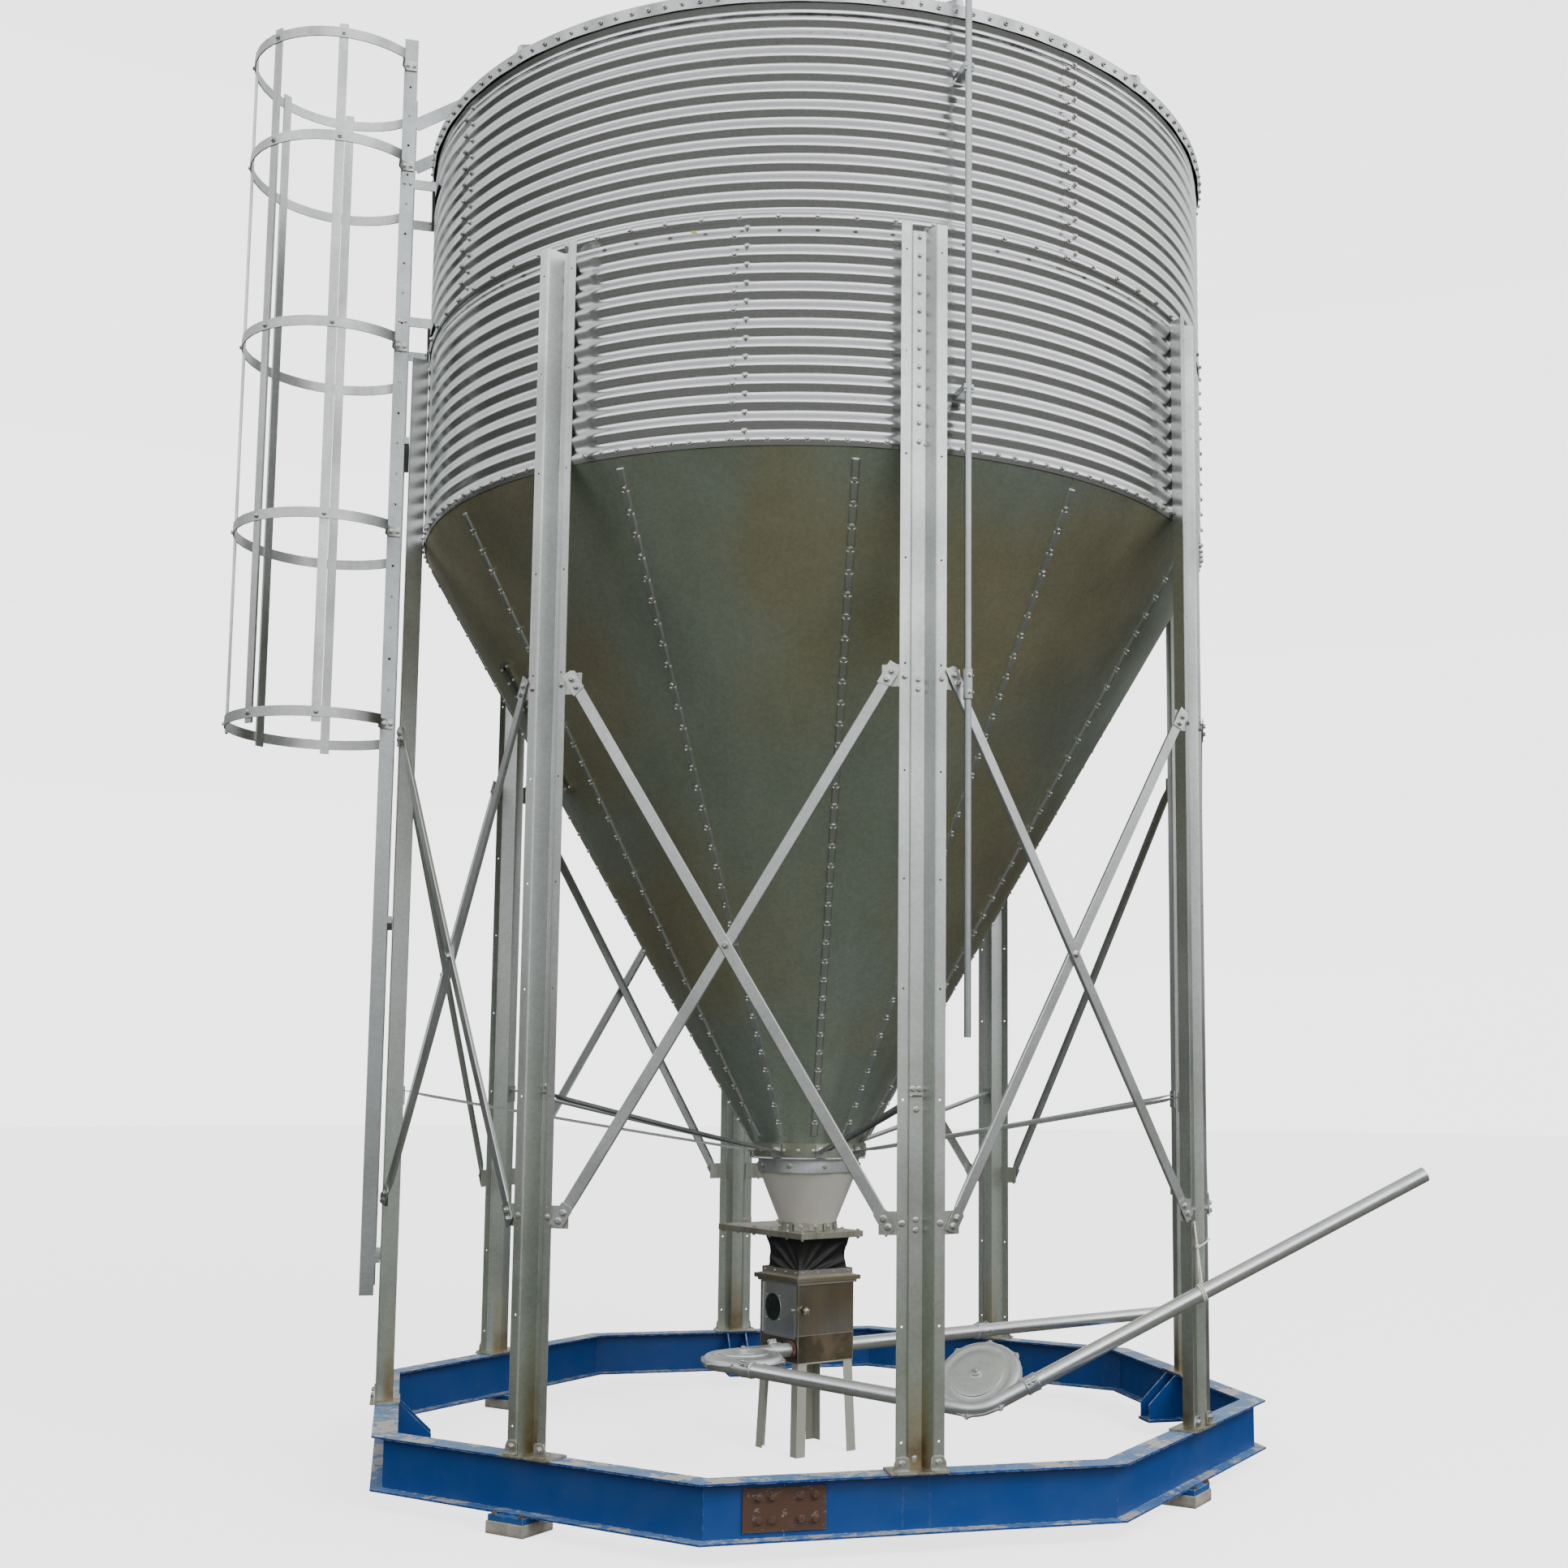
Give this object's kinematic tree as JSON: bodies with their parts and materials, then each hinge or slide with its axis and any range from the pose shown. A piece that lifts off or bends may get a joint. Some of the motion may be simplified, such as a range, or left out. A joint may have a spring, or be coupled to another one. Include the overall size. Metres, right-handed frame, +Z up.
{
  "type": "grain silo",
  "caption": "Corrugated steel grain silo with a cone hopper on braced legs and a ring of beams, with a slide gate, intake box, tube conveyor and caged ladder.",
  "frame": {"origin": "middle of the bounding box on the ground, under the silo and close to its axis", "axes": "+Z up, -Y towards the front leg, -X towards the ladder"},
  "size_m": [4.9152, 3.8604, 6.86],
  "materials": {
    "corrugated_sheet": "galvanised corrugated sheet",
    "hopper_sheet": "plain galvanised sheet, weathered olive grey",
    "roof_sheet": "galvanised sheet",
    "leg_steel": "galvanised, grey-green",
    "brace_steel": "galvanised flat bar",
    "collar_steel": "galvanised, weathered olive grey",
    "base_paint": "blue paint, chipped at the edges",
    "pad_paint": "blue paint",
    "rusty_plate": "blue paint with rusty bolts",
    "transition_paint": "pale galvanised",
    "gate_plate": "dull plate",
    "boot_fabric": "black coated fabric",
    "box_stainless": "stainless sheet",
    "window_glass": "dark pane",
    "stand_paint": "galvanised angle",
    "tube_metal": "galvanised tube",
    "wheel_casting": "dull cast housing",
    "twine_fibre": "twine",
    "rod_steel": "galvanised rod",
    "ladder_steel": "galvanised",
    "cage_steel": "galvanised flat bar"
  },
  "bodies": {
    "silo": {"base_ring_left": "base_paint", "base_ring_right": "base_paint", "boot": "boot_fabric", "box_stand": "stand_paint", "brace_back_left_to_left": "brace_steel", "brace_back_right_to_back": "brace_steel", "brace_back_to_back_left": "brace_steel", "brace_front_left_to_front": "brace_steel", "brace_front_right_to_right": "brace_steel", "brace_front_to_front_right": "brace_steel", "brace_left_to_front_left": "brace_steel", "brace_right_to_back_right": "brace_steel", "corner_wheel_front": "wheel_casting", "corner_wheel_left": "wheel_casting", "feed_tube": "tube_metal", "filler_collar": "roof_sheet", "foot_pad_back_left": "pad_paint", "foot_pad_back_right": "pad_paint", "foot_pad_front_left": "pad_paint", "foot_pad_front_right": "pad_paint", "front_tube": "tube_metal", "gate_frame": "gate_plate", "hopper_collar": "collar_steel", "hopper_lower_1": "hopper_sheet", "hopper_lower_2": "hopper_sheet", "hopper_lower_3": "hopper_sheet", "hopper_lower_4": "hopper_sheet", "hopper_upper_1": "hopper_sheet", "hopper_upper_2": "hopper_sheet", "hopper_upper_3": "hopper_sheet", "hopper_upper_4": "hopper_sheet", "intake_box": "box_stainless", "ladder": "ladder_steel", "ladder_cage": "cage_steel", "leg_back": "leg_steel", "leg_back_left": "leg_steel", "leg_back_right": "leg_steel", "leg_front": "leg_steel", "leg_front_left": "leg_steel", "leg_front_right": "leg_steel", "leg_left": "leg_steel", "leg_right": "leg_steel", "lid": "roof_sheet", "lid_rod": "rod_steel", "link_tube": "tube_metal", "outlet_ring": "transition_paint", "outlet_transition": "transition_paint", "roof": "roof_sheet", "splice_plate_back": "rusty_plate", "splice_plate_front": "rusty_plate", "twine": "twine_fibre", "wall_lower_left": "corrugated_sheet", "wall_lower_right": "corrugated_sheet", "wall_upper_left": "corrugated_sheet", "wall_upper_right": "corrugated_sheet"},
    "door": {"box_door": "box_stainless", "door_window": "window_glass"},
    "gate": {"gate_blade": "gate_plate"}
  },
  "joints": [
    {"name": "door_hinge", "type": "hinge", "parent": "silo", "child": "door", "pos_m": [-0.00376, 0.06233, 0.64], "axis": [0, 0, -1], "range_deg": [0, 100]},
    {"name": "gate_slide", "type": "slide", "parent": "silo", "child": "gate", "axis": [-0.3827, 0.9239, 0], "range_m": [0, 0.28]}
  ]
}
